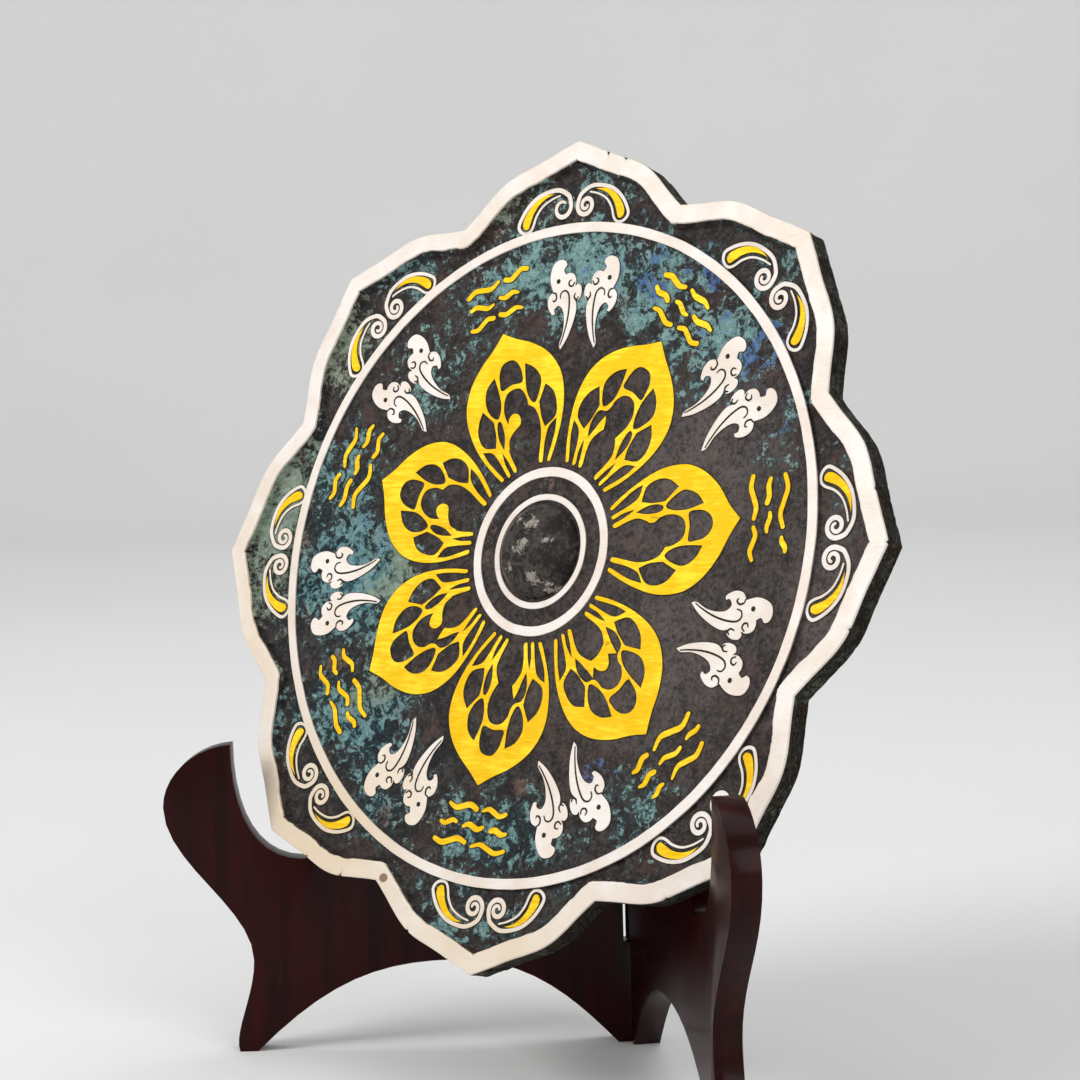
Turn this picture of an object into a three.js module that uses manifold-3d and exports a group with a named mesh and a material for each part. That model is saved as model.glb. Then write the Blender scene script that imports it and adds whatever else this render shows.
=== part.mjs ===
// An eight-lobed bronze mirror, inlaid with silver and gold on its knobbed side,
// leaning in a folding stand of two lacquered boards.
// Millimetres, +Z up. The knobbed side faces -Y and the stand's hinge is at +Y.

import * as THREE from 'three';
import { mergeVertices } from 'three/addons/utils/BufferGeometryUtils.js';
import Module from 'manifold-3d';

const wasm = await Module();
wasm.setup();

// ---- driving dimensions -------------------------------------------------

// mirror casting
const LOBES = 8;
const TIP_RADIUS = 127;
const VALLEY_RADIUS = 110.8;
const EDGE_THICKNESS = 8.5;
const RIM_RISE = 3;             // rim band's top above the field ring's top
const DISH_DEPTH = 3;           // how far the field sinks from its ring to its centre
const FIELD_DROP = 0.9;         // field below its ring's top
const BORDER_DROP = 1.4;        // border below the ring's top
const RIM_SLOPE = 2.5;          // width of the slope inside the rim
const KNOB_RADIUS = 14.5;
const KNOB_HEIGHT = 6.3;

// inlays
const SHEET = 0.6;              // thickness of the silver and gold
const BED = 0.3;                // gap that the bedding fills under an inlay
const RIM_BAND = 5.7;
const FIELD_RING = [98.45, 101.55];
const OUTER_KNOB_RING = [23, 25.9];
const INNER_KNOB_RING = [15.7, 17.6];
const PETALS = 7;
const PETAL_TURN = -18.9;       // degrees, clockwise, of the first petal from the top lobe
const PETAL = { base: 27.5, tip: 72.5, half: 19, foot: 11.4 };
const PETAL_OPENING = { base: 28.8, tip: 64.5, half: 16.2, foot: 9.9 };

// how the mirror leans in its stand
const LEAN = 16.2;              // degrees back from upright
const SET_ASKEW = 2.1;          // degrees, anticlockwise, that the top lobe stands off upright
const CENTRE_HEIGHT = 158.3;    // of the mirror's centre above the feet

// stand
const BOARD = 8.3;              // thickness of a board
const HALF_OPENING = 49.7;      // degrees between each board and the line to the front
const HINGE_BEHIND = 46.7;      // hinge axis behind the mirror's centre
const BARREL_RADIUS = 4.5;
const BARREL_HEIGHT = 128;
const KNUCKLES = 4;
const KNUCKLE_GAP = 0.4;
const BOARD_START = 5.2;        // board's rear edge in front of the hinge axis

const LATHE_STEPS = LOBES * 18;
const RING_STEPS = 64;
const KNUCKLE_SIDES = 24;
const FINE_CURVE = 10;
const PLAIN_CURVE = 6;

const rad = THREE.MathUtils.degToRad;

// ---- materials ----------------------------------------------------------

const bronze = new THREE.MeshStandardMaterial({ color: 0x2b3330, roughness: 0.5, metalness: 0.8 });
const silver = new THREE.MeshStandardMaterial({ color: 0xe9e0d6, roughness: 0.35, metalness: 0.9 });
const gold = new THREE.MeshStandardMaterial({ color: 0xf0c419, roughness: 0.35, metalness: 0.9 });
const lacquer = new THREE.MeshStandardMaterial({ color: 0x3a0d0b, roughness: 0.25, metalness: 0 });

// ---- the mirror's forms -------------------------------------------------

// One half lobe, as the fall from its tip (0) to the valley (1): a straight fall
// with waves that make the tip's ogee, the full shoulder and the soft valley.
function lobeFall(s) {
  const wave = (n, size) => size * Math.sin(n * Math.PI * s);
  return 1 - s + wave(1, 0.066) + wave(2, -0.034) + wave(3, -0.026) + wave(4, 0.015);
}

// Outer radius at an angle from a lobe's tip.
function outlineRadius(angle) {
  const halfLobe = Math.PI / LOBES;
  const turns = Math.abs(angle) / (2 * halfLobe);
  const fromTip = Math.abs(turns - Math.round(turns)) * 2;
  return VALLEY_RADIUS + (TIP_RADIUS - VALLEY_RADIUS) * lobeFall(fromTip);
}

// The same outline moved inwards by a width measured square to it.
function insetRadius(angle, width) {
  const step = 0.004;
  const halfLobe = Math.PI / LOBES;
  const inHalf = Math.abs(angle) % halfLobe;
  const side = inHalf + step > halfLobe ? -step : step;
  const base = outlineRadius(angle);
  const slope = (outlineRadius(Math.abs(angle) + side) - base) / side;
  return base - width * Math.hypot(1, slope / base);
}

// Height of the dished field at a radius.
function fieldHeight(radius) {
  const ring = FIELD_RING[0];
  return -FIELD_DROP - DISH_DEPTH * (1 - Math.min(radius / ring, 1) ** 2);
}

// A turned profile of [radius, height] pairs, lying in XY with its height along Z.
function turned(profile, steps) {
  const points = profile.map(([radius, height]) => new THREE.Vector2(radius, height));
  const geometry = new THREE.LatheGeometry(points, steps);
  geometry.rotateX(Math.PI / 2);
  return geometry;
}

// Bends a turned form to the lobes: beyond the ring, a radius counts inwards from TIP_RADIUS.
function lobed(geometry) {
  const rimWidth = RIM_BAND + RIM_SLOPE;
  const places = geometry.attributes.position;
  const point = new THREE.Vector3();
  for (let i = 0; i < places.count; i += 1) {
    point.fromBufferAttribute(places, i);
    const radius = Math.hypot(point.x, point.y);
    if (radius > TIP_RADIUS - rimWidth - 1) {
      const angle = Math.atan2(point.x, point.y);
      const scale = insetRadius(angle, TIP_RADIUS - radius) / radius;
      places.setXY(i, point.x * scale, point.y * scale);
    }
  }
  return geometry;
}

function mirrorProfile() {
  const back = RIM_RISE - EDGE_THICKNESS;
  const rimTop = RIM_RISE - SHEET - BED;
  const knobFoot = fieldHeight(KNOB_RADIUS);
  const profile = [
    [0, back],
    [TIP_RADIUS, back],
    [TIP_RADIUS, rimTop],
    [TIP_RADIUS - RIM_BAND, rimTop],
    [TIP_RADIUS - RIM_BAND - RIM_SLOPE, -BORDER_DROP],
    [FIELD_RING[1] + 0.4, -BORDER_DROP],
    [FIELD_RING[1], -FIELD_DROP],
  ];
  for (const radius of [FIELD_RING[0], 74, 50, 27]) {
    profile.push([radius, fieldHeight(radius)]);
  }
  for (const bow of [0, 20, 42, 66]) {
    const radius = KNOB_RADIUS * Math.cos(rad(bow));
    profile.push([radius, knobFoot + KNOB_HEIGHT * Math.sin(rad(bow))]);
  }
  profile.push([0, knobFoot + KNOB_HEIGHT]);
  return profile;
}

// A flat strip between two radii, closed on itself; height gives its underside.
function strip([inner, outer], height) {
  return [
    [inner, height(inner)],
    [outer, height(outer)],
    [outer, height(outer) + SHEET],
    [inner, height(inner) + SHEET],
    [inner, height(inner)],
  ];
}

const bedded = (radius) => fieldHeight(radius) + BED;

// Petal outline, pointing along +Y and drawn anticlockwise from its right foot.
function petalPath(path, { base, tip, half, foot }) {
  const waist = (base + tip) / 2;
  const swell = foot + (half - foot) * 0.4;
  path.moveTo(foot, base);
  path.bezierCurveTo(swell, base + 5.5, half, waist - 8, half, waist);
  path.bezierCurveTo(half, waist + 10, half * 0.36, tip - 6.5, 0, tip);
  path.bezierCurveTo(-half * 0.36, tip - 6.5, -half, waist + 10, -half, waist);
  path.bezierCurveTo(-half, waist - 8, -swell, base + 5.5, -foot, base);
  return path;
}

function petalGeometry() {
  const shape = petalPath(new THREE.Shape(), PETAL);
  shape.holes.push(petalPath(new THREE.Path(), PETAL_OPENING));
  return new THREE.ExtrudeGeometry(shape, {
    depth: SHEET, bevelEnabled: false, curveSegments: PLAIN_CURVE,
  });
}

// Lays a flat sheet on the dished field.
function laidOnField(geometry) {
  const places = geometry.attributes.position;
  for (let i = 0; i < places.count; i += 1) {
    const radius = Math.hypot(places.getX(i), places.getY(i));
    places.setZ(i, places.getZ(i) + bedded(radius));
  }
  return geometry;
}

function buildMirror() {
  const mirror = new THREE.Group();
  const add = (name, geometry, material) => {
    const mesh = new THREE.Mesh(geometry, material);
    mesh.name = name;
    mirror.add(mesh);
  };

  add('mirror_disc', lobed(turned(mirrorProfile(), LATHE_STEPS)), bronze);

  const rimUnderside = () => RIM_RISE - SHEET;
  const rimBand = strip([TIP_RADIUS - RIM_BAND, TIP_RADIUS], rimUnderside);
  add('silver_rim_band', lobed(turned(rimBand, LATHE_STEPS)), silver);
  const ringUnderside = () => -SHEET;
  add('silver_field_ring', turned(strip(FIELD_RING, ringUnderside), RING_STEPS * 1.5), silver);
  add('silver_knob_ring_outer', turned(strip(OUTER_KNOB_RING, bedded), RING_STEPS), silver);
  add('silver_knob_ring_inner', turned(strip(INNER_KNOB_RING, bedded), RING_STEPS), silver);

  for (let i = 0; i < PETALS; i += 1) {
    const turn = rad(PETAL_TURN + (360 / PETALS) * i);
    const petal = petalGeometry().rotateZ(-turn);
    add(`gold_petal_${i + 1}`, laidOnField(petal), gold);
  }

  mirror.rotation.set(rad(90 - LEAN), 0, rad(SET_ASKEW));
  mirror.position.set(0, 0, CENTRE_HEIGHT);
  return mirror;
}

// ---- the stand ----------------------------------------------------------

// A board's outline: x runs forward from the hinge axis, y up from the floor.
function boardShape() {
  const shape = new THREE.Shape();
  shape.moveTo(BOARD_START, 0);
  shape.lineTo(7.5, 0);
  // arch between the feet
  shape.bezierCurveTo(20, 13, 34, 27.5, 58, 27.6);
  shape.bezierCurveTo(82, 27.7, 98, 22, 121, 0);
  // front foot, waist and hooked finger
  shape.lineTo(126.6, 0);
  shape.bezierCurveTo(128.8, 6, 121.4, 18, 121.3, 29);
  shape.bezierCurveTo(121.2, 46, 148.2, 60, 148.1, 78);
  shape.bezierCurveTo(148, 88, 138, 96.8, 126.5, 97.3);
  // rest for the mirror's edge
  shape.bezierCurveTo(126.9, 74, 119, 61.2, 105.5, 60.8);
  shape.bezierCurveTo(101, 60.8, 98.2, 64, 96, 70);
  // upright behind the mirror
  shape.bezierCurveTo(84, 92, 66, 120, 59, 152);
  shape.bezierCurveTo(55.5, 163, 50.5, 173, 45.5, 184);
  shape.bezierCurveTo(42, 190, 35, 190, 30, 184);
  shape.bezierCurveTo(22, 172, 18, 160, 12, 150);
  shape.bezierCurveTo(8, 143, BOARD_START, 139, BOARD_START, 132);
  return shape;
}

function toSolid(geometry) {
  const bare = geometry.clone();
  bare.deleteAttribute('normal');
  bare.deleteAttribute('uv');
  const merged = mergeVertices(bare, 1e-4);
  return new wasm.Manifold(new wasm.Mesh({
    numProp: 3,
    vertProperties: new Float32Array(merged.attributes.position.array),
    triVerts: new Uint32Array(merged.index.array),
  }));
}

function toGeometry(solid) {
  const mesh = solid.getMesh();
  const geometry = new THREE.BufferGeometry();
  geometry.setAttribute('position', new THREE.BufferAttribute(mesh.vertProperties, 3));
  geometry.setIndex(new THREE.BufferAttribute(mesh.triVerts, 1));
  return geometry;
}

// A board with every second knuckle of the hinge barrel, beginning at `first`.
function boardGeometry(first) {
  const plate = new THREE.ExtrudeGeometry(boardShape(), {
    depth: BOARD, bevelEnabled: false, curveSegments: FINE_CURVE,
  });
  plate.translate(0, 0, -BOARD / 2);
  let solid = toSolid(plate);
  const pitch = BARREL_HEIGHT / KNUCKLES;
  for (let i = first; i < KNUCKLES; i += 2) {
    const low = i === 0 ? 0 : i * pitch + KNUCKLE_GAP / 2;
    const high = (i + 1) * pitch - KNUCKLE_GAP / 2;
    const middle = (low + high) / 2;
    const knuckle = new THREE.CylinderGeometry(
      BARREL_RADIUS, BARREL_RADIUS, high - low, KNUCKLE_SIDES,
    ).translate(0, middle, 0);
    const web = new THREE.BoxGeometry(BOARD_START + 1, high - low, BOARD)
      .translate((BOARD_START + 1) / 2, middle, 0);
    solid = solid.add(toSolid(knuckle)).add(toSolid(web));
  }
  return toGeometry(solid);
}

function buildStand() {
  const stand = new THREE.Group();
  const sides = [
    ['stand_board_left', -90 - HALF_OPENING, 0],
    ['stand_board_right', -90 + HALF_OPENING, 1],
  ];
  for (const [name, heading, firstKnuckle] of sides) {
    const board = new THREE.Mesh(boardGeometry(firstKnuckle), lacquer);
    board.name = name;
    board.rotation.set(Math.PI / 2, 0, rad(heading), 'ZXY');
    stand.add(board);
  }
  stand.position.set(0, HINGE_BEHIND, 0);
  return stand;
}

// ---- the whole, standing over the origin --------------------------------

const assembly = new THREE.Group();
assembly.add(buildMirror(), buildStand());

const bounds = new THREE.Box3().setFromObject(assembly, true);
const middle = bounds.getCenter(new THREE.Vector3());
assembly.position.set(-middle.x, -middle.y, -bounds.min.z);

const part = new THREE.Group();
part.add(assembly);

export default part;
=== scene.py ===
"""Lobed bronze mirror with silver and gold inlay, leaning in a folding lacquered stand."""

import math
import random

import bmesh
import bpy
from bpy.props import FloatProperty, FloatVectorProperty, IntProperty, PointerProperty
from mathutils import Matrix, Vector, noise


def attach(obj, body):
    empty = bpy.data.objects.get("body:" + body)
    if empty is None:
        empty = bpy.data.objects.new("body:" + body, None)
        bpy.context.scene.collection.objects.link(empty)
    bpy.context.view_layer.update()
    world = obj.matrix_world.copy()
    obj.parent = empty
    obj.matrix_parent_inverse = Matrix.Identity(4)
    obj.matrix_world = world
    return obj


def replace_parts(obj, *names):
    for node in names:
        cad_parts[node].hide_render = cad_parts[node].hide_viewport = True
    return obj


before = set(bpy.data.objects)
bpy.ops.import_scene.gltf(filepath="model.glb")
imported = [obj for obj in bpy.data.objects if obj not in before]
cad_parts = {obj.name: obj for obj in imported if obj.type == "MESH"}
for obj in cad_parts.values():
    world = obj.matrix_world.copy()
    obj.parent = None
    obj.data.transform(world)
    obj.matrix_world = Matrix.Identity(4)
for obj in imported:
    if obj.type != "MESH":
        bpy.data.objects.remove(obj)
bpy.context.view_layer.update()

bl_info = {
    "name": "Inlaid Bronze Mirror",
    "version": (1, 0, 0),
    "blender": (4, 5, 0),
    "location": "View3D > Sidebar > Mirror",
    "description": "Builds an inlaid lobed bronze mirror on its stand around its solid model",
    "category": "Object",
}

MM = 0.001


# ---- the mirror's own frame, in millimetres: x to the right, y up its face, z outwards ----

LOBES = 8
TIP_RADIUS = 127.0
VALLEY_RADIUS = 110.8
HALF_LOBE = math.pi / LOBES
# height and number of the half waves that shape half a lobe's edge
LOBE_WAVES = ((0.066, 1), (-0.034, 2), (-0.026, 3), (0.015, 4))
PETALS = 7
PETAL_STEP = 2 * math.pi / PETALS
FIRST_PETAL = math.radians(-18.9)

FIELD_EDGE = 98.45
FIELD_LEVEL = -0.9
FIELD_DISH = 3
RING_MIDDLE = 100
RING_EDGE = 101.95
BORDER_LEVEL = -1.4
BORDER_RISE = 0.9
RIM_FOOT = 7.0
RIM_SEAT = 2.1
RIM_TOP = 3.0
RIM_BAND = 5.7
BACK = -5.5
KNOB_RADIUS = 14.5
KNOB_HEIGHT = 6.3

MIRROR_CENTRE = Vector((0.0, 0.53489, 158.3)) * MM
RIGHT_WAY = Vector((0.99933, 0.01022, 0.03519))
UP_WAY = Vector((-0.03664, 0.2788, 0.95965))
OUT_WAY = Vector((0.0, -0.96029, 0.27899))

MIRROR_TURN = Matrix((RIGHT_WAY, UP_WAY, OUT_WAY)).transposed()
MIRROR_PLACE = Matrix.Translation(MIRROR_CENTRE) @ (MIRROR_TURN * MM).to_4x4()


def lobe_fall(share):
    """How far out the edge stands, from 1 at a tip (share 0) to 0 at a valley (share 1)."""
    return 1 - share + sum(size * math.sin(count * math.pi * share)
                           for size, count in LOBE_WAVES)


def edge_radius(angle):
    """Radius of the lobed edge at an angle measured clockwise from the top tip."""
    turns = angle / (2 * HALF_LOBE)
    share = abs(turns - round(turns)) * 2
    return VALLEY_RADIUS + (TIP_RADIUS - VALLEY_RADIUS) * lobe_fall(share)


def inset_radius(angle, inset):
    """Radius of a line that runs inside the lobed edge, the same distance all the way."""
    radius = edge_radius(angle)
    step = 0.002
    slope = (edge_radius(angle + step) - edge_radius(angle - step)) / (2 * step)
    return radius - inset * math.hypot(1, slope / radius)


def field_height(radius):
    """Height of the dished field."""
    return FIELD_LEVEL - FIELD_DISH * (1 - min(radius / FIELD_EDGE, 1) ** 2)


def border_height(share):
    """Height of the border, for a share from 0 at the field ring to 1 at the rim's foot."""
    return BORDER_LEVEL + BORDER_RISE * share


def clockwise_angle(point):
    return math.atan2(point.x, point.y)


def ground_height(point):
    """Height of the bronze under an inlay, on the field or in the border."""
    radius = math.hypot(point.x, point.y)
    if radius < RING_MIDDLE:
        return field_height(radius)
    foot = inset_radius(clockwise_angle(point), RIM_FOOT)
    return border_height(min(1, (radius - RING_EDGE) / (foot - RING_EDGE)))


def colours():
    return bpy.context.scene.mirror_colours


def inlay_sizes():
    return bpy.context.scene.mirror_inlays


# ---- small helpers for meshes ----

def new_object(name, data):
    made = bpy.data.objects.new(name, data)
    bpy.context.scene.collection.objects.link(made)
    return made


def finished(name, mesh, materials, smooth_below):
    """Puts a mesh in the scene as a piece that rides on the root body."""
    mesh.name = name
    mesh.shade_smooth()
    mesh.set_sharp_from_angle(angle=math.radians(smooth_below))
    piece = new_object(name, mesh)
    for material in materials:
        mesh.materials.append(material)
    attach(piece, "root")
    return piece


def mesh_from(bm):
    mesh = bpy.data.meshes.new("work")
    bm.to_mesh(mesh)
    bm.free()
    return mesh


def close_shell(bm):
    bmesh.ops.remove_doubles(bm, verts=bm.verts, dist=1e-4)
    bmesh.ops.recalc_face_normals(bm, faces=bm.faces)


def spun(profile, steps):
    """A closed shell turned about z from (radius, height) points."""
    bm = bmesh.new()
    verts = [bm.verts.new((radius, 0, height)) for radius, height in profile]
    edges = [bm.edges.new(pair) for pair in zip(verts, verts[1:])]
    bmesh.ops.spin(bm, geom=verts + edges, cent=(0, 0, 0), axis=(0, 0, 1),
                   angle=2 * math.pi, steps=steps, use_merge=True)
    bmesh.ops.remove_doubles(bm, verts=bm.verts, dist=1e-4)
    return bm


def strip_profile(inner, outer, under, top, round_by):
    """Section of a flat ring whose upper corners are rounded, closed on itself."""
    corner = ((0, under), (0, top - round_by), (round_by * 0.3, top - round_by * 0.3),
              (round_by, top), (round_by * 2.2, top))
    return ([(inner + off, height) for off, height in corner] + [((inner + outer) / 2, top)]
            + [(outer - off, height) for off, height in reversed(corner)] + [(inner, under)])


# ---- flat inlays, drawn as closed outlines ----

def flowing(points, steps=5, closed=False):
    """A smooth line through the points."""
    count = len(points)
    line = []
    for i in range(count if closed else count - 1):
        near = [(i + k) % count if closed else max(0, min(count - 1, i + k))
                for k in (-1, 0, 1, 2)]
        p0, p1, p2, p3 = (Vector(points[k][:2]) for k in near)
        for j in range(steps):
            t = j / steps
            line.append(0.5 * (2 * p1 + (p2 - p0) * t + (2 * p0 - 5 * p1 + 4 * p2 - p3) * t * t
                               + (3 * p1 - p0 - 3 * p2 + p3) * t ** 3))
    if not closed:
        line.append(Vector(points[-1][:2]))
    return line


def outline(points, steps=4):
    """A closed smooth outline; a point with a third value is a sharp corner."""
    corners = [i for i, point in enumerate(points) if len(point) > 2]
    if not corners:
        return flowing(points, steps, closed=True)
    line = []
    count = len(points)
    for first, last in zip(corners, corners[1:] + [corners[0] + count]):
        run = [points[i % count] for i in range(first, last + 1)]
        line += flowing(run, steps)[:-1]
    return line


def stroke(line, width, tail, head, eased=0.35):
    """Outline of a stroke with round ends, narrowed to tail and head over an eased share."""
    count = len(line)
    left, right = [], []
    for i, point in enumerate(line):
        ahead = line[min(i + 1, count - 1)] - line[max(i - 1, 0)]
        side = Vector((-ahead.y, ahead.x)).normalized()
        share = i / (count - 1)
        ease = 1.0
        if share < eased:
            ease = tail + (1 - tail) * share / eased
        elif share > 1 - eased:
            ease = head + (1 - head) * (1 - share) / eased
        half = width / 2 * ease
        left.append(point + side * half)
        right.append(point - side * half)
    caps = []
    for end, inner in ((0, 1), (count - 1, count - 2)):
        out = (line[end] - line[inner]).normalized()
        half = (left[end] - right[end]).length / 2
        side = Vector((-out.y, out.x))
        caps.append([line[end] + (side * math.cos(a) + out * math.sin(a)) * half
                     for a in (math.pi * k / 6 for k in range(1, 6))])
    return left + caps[1] + right[::-1] + caps[0]


def mirrored(points):
    return [(-p[0], *p[1:]) for p in points]


def curve_mesh(outlines, fill, thickness, bevel, shift=0.0):
    """Closed outlines as a mesh: a cut sheet when filled, a round bead along them when not."""
    curve = bpy.data.curves.new("cutting", "CURVE")
    curve.dimensions = "2D" if fill else "3D"
    curve.fill_mode = "BOTH" if fill else "FULL"
    curve.extrude = max(thickness / 2 - bevel, 0) if fill else 0
    curve.bevel_depth = bevel
    curve.bevel_resolution = 1
    curve.offset = shift
    for points in outlines:
        spline = curve.splines.new("POLY")
        spline.points.add(len(points) - 1)
        for place, point in zip(spline.points, points):
            place.co = (point[0], point[1], 0, 1)
        spline.use_cyclic_u = True
    holder = new_object("cutting", curve)
    depsgraph = bpy.context.evaluated_depsgraph_get()
    mesh = bpy.data.meshes.new_from_object(holder.evaluated_get(depsgraph))
    bpy.data.objects.remove(holder)
    bpy.data.curves.remove(curve)
    return mesh


class Inlay:
    """Collects cut sheets laid on the bronze, with a dark bead of bedding round each."""

    WALL = 0.35
    BEVEL = 0.1
    BEAD_LEVEL = 0.08
    LONGEST_EDGE = 5

    def __init__(self, turn):
        """The outlines have +y outwards, and are turned clockwise about the mirror's centre."""
        self.bm = bmesh.new()
        self.turn = turn
        self.stand = inlay_sizes().stand / MM

    def lay(self, outlines):
        """Lays a sheet in its bedding."""
        sheet = curve_mesh(outlines, True, self.WALL, self.BEVEL, -self.BEVEL)
        self.drop(sheet, self.stand - self.WALL / 2, 0)
        line = inlay_sizes().bed_line / MM
        self.drop(curve_mesh(outlines, False, 0, line), self.BEAD_LEVEL - line * 0.5, 1)

    def engrave(self, line, rise):
        """Lays a thin dark line on top of a sheet, as the filler of a groove."""
        wall = 0.1
        self.drop(curve_mesh([line], True, wall, 0.0), self.stand + rise - wall / 2, 1)

    def drop(self, mesh, lift, slot):
        """Turns a flat mesh to its place and drapes it on the bronze."""
        part = bmesh.new()
        part.from_mesh(mesh)
        bpy.data.meshes.remove(mesh)
        close_shell(part)
        for _ in range(4):
            long_edges = [e for e in part.edges if e.calc_length() > self.LONGEST_EDGE]
            if not long_edges:
                break
            bmesh.ops.subdivide_edges(part, edges=long_edges, cuts=1, use_grid_fill=True)
        bmesh.ops.rotate(part, verts=part.verts, cent=(0, 0, 0),
                         matrix=Matrix.Rotation(-self.turn, 3, "Z"))
        for vert in part.verts:
            vert.co.z += lift + ground_height(vert.co)
        for face in part.faces:
            face.material_index = slot
        work = mesh_from(part)
        self.bm.from_mesh(work)
        bpy.data.meshes.remove(work)

    def finish(self, name, metal, slot_name):
        self.bm.transform(MIRROR_PLACE)
        return finished(name, mesh_from(self.bm), [metal, bedding()], 15)


# ---- materials ----

class Finish:
    """A material whose nodes are added in short calls."""

    def __init__(self, name, metallic=0.0, roughness=0.5, coat=0.0, specular=0.5):
        self.material = bpy.data.materials.new(name)
        self.material.use_nodes = True
        self.tree = self.material.node_tree
        self.shader = self.tree.nodes["Principled BSDF"]
        self.shader.inputs["Metallic"].default_value = metallic
        self.shader.inputs["Roughness"].default_value = roughness
        self.shader.inputs["Coat Weight"].default_value = coat
        self.shader.inputs["Coat Roughness"].default_value = 0.08
        self.shader.inputs["Specular IOR Level"].default_value = specular

    def feed(self, socket, value):
        """Gives a socket another node's output, a colour or a plain value."""
        if hasattr(value, "is_linked"):
            self.tree.links.new(value, socket)
        else:
            socket.default_value = (*value, 1) if socket.type == "RGBA" else value

    def node(self, kind, inputs=(), **settings):
        node = self.tree.nodes.new("ShaderNode" + kind)
        for key, value in settings.items():
            setattr(node, key, value)
        for key, value in dict(inputs).items():
            self.feed(node.inputs[key], value)
        return node

    def use(self, **sockets):
        for key, value in sockets.items():
            self.feed(self.shader.inputs[key.replace("_", " ")], value)
        return self.material

    def object_place(self):
        return self.node("TexCoord").outputs["Object"]

    def mirror_place(self):
        """Place in the mirror's own frame, in millimetres."""
        return self.node("Mapping", {
            "Vector": self.object_place(), "Location": MIRROR_CENTRE,
            "Rotation": MIRROR_TURN.to_euler(), "Scale": (MM, MM, MM),
        }, vector_type="TEXTURE").outputs["Vector"]

    def stretched(self, place, scale, turn=0.0):
        return self.node("Mapping", {"Vector": place, "Scale": scale,
                                     "Rotation": (0, 0, turn)}).outputs["Vector"]

    def vector(self, operation, first, second):
        return self.node("VectorMath", {0: first, 1: second}, operation=operation).outputs[0]

    def math(self, operation, first, second):
        return self.node("Math", {0: first, 1: second}, operation=operation).outputs[0]

    def noise(self, place, scale, detail=4.0, roughness=0.55, distortion=0.0, offset=0.0):
        if offset:
            place = self.vector("ADD", place, (offset, -offset, offset))
        return self.node("TexNoise", {
            "Vector": place, "Scale": scale, "Detail": detail, "Roughness": roughness,
            "Distortion": distortion,
        }).outputs["Fac"]

    def pits(self, place, scale):
        return self.node("TexVoronoi", {"Vector": place, "Scale": scale}).outputs["Distance"]

    def warped(self, place, scale, amount):
        """The place pushed about, so that what is drawn there gets ragged edges."""
        push = self.node("TexNoise", {"Vector": place, "Scale": scale, "Detail": 6.0,
                                      "Roughness": 0.65}).outputs["Color"]
        push = self.vector("SUBTRACT", push, (0.5, 0.5, 0.5))
        push = self.node("VectorMath", {0: push, 3: amount}, operation="SCALE").outputs[0]
        return self.vector("ADD", place, push)

    def fit(self, value, low, high, to_low=0.0, to_high=1.0):
        """A value spread smoothly from one range to another."""
        return self.node("MapRange", {
            "Value": value, "From Min": low, "From Max": high, "To Min": to_low,
            "To Max": to_high,
        }, interpolation_type="SMOOTHSTEP").outputs["Result"]

    def weighed(self, *shares):
        """Sum of (weight, field) pairs."""
        total = None
        for weight, field in shares:
            part = self.math("MULTIPLY", field, weight)
            total = part if total is None else self.math("ADD", total, part)
        return total

    def spot(self, place, centre, size, soft=1.0):
        """1 in the middle of an oval spot, falling to 0 at its edge."""
        moved = self.vector("SUBTRACT", place, (*centre, 0))
        scaled = self.vector("MULTIPLY", moved, (1 / size[0], 1 / size[1], 0))
        far = self.node("VectorMath", {0: scaled}, operation="LENGTH").outputs["Value"]
        return self.fit(far, 1 - soft, 1, 1, 0)

    def spots(self, place, places, soft=1.0):
        """The strongest of several spots, each (x, y, width, height, strength)."""
        total = None
        for x, y, wide, high, strength in places:
            one = self.math("MULTIPLY", self.spot(place, (x, y), (wide, high), soft), strength)
            total = one if total is None else self.math("MAXIMUM", total, one)
        return total

    def blend(self, share, first, second, mode="MIX"):
        return self.node("Mix", {0: share, 6: first, 7: second}, data_type="RGBA",
                         blend_type=mode).outputs[2]

    def over(self, face, tone, share, strength, mode="MIX"):
        """The face under a tone that covers part of it."""
        return self.blend(self.math("MULTIPLY", share, strength), face, tone, mode)

    def bump(self, height, strength, distance, normal=None):
        inputs = {"Height": height, "Strength": strength, "Distance": distance}
        if normal is not None:
            inputs["Normal"] = normal
        return self.node("Bump", inputs).outputs["Normal"]


_made = {}


def once(make):
    """Each material is made the first time that a piece asks for it."""
    def ask():
        if make.__name__ not in _made:
            _made[make.__name__] = make()
        return _made[make.__name__]
    return ask


# patches of the mirror's face, each (x, y, width, height, strength)
# lighter patches on the right of the field and border: partly bare bronze, partly painted sheen
BARE_BRONZE_AND_SHEEN = ((56, 20, 56, 54, 1.0), (50, -32, 50, 44, 1.0), (16, -40, 34, 22, 0.5),
               (108, -22, 30, 66, 1.0))
GREEN_CRUST = (
    (0, 86, 78, 30, 0.98), (-28, 84, 40, 26, 0.80), (38, 78, 40, 30, 0.92),
    (60, 60, 40, 36, 0.90), (-54, 58, 44, 36, 0.60), (90, 34, 24, 36, 0.55),
    (-84, 28, 34, 40, 0.70), (-74, -6, 48, 44, 0.95), (-64, -54, 52, 44, 0.72),
    (-44, -76, 46, 30, 0.62), (-4, -86, 70, 32, 0.70), (48, -74, 40, 28, 0.58),
    (0, 113, 44, 16, 0.74), (-70, 92, 50, 30, 0.62), (-112, 14, 26, 62, 0.74),
    (-98, -54, 36, 40, 0.64), (-20, -114, 84, 20, 0.64), (84, 84, 30, 26, 0.56),
    (60, -98, 44, 20, 0.52), (112, 30, 14, 48, 0.46), (-22, 22, 24, 36, 0.42),
)
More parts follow.
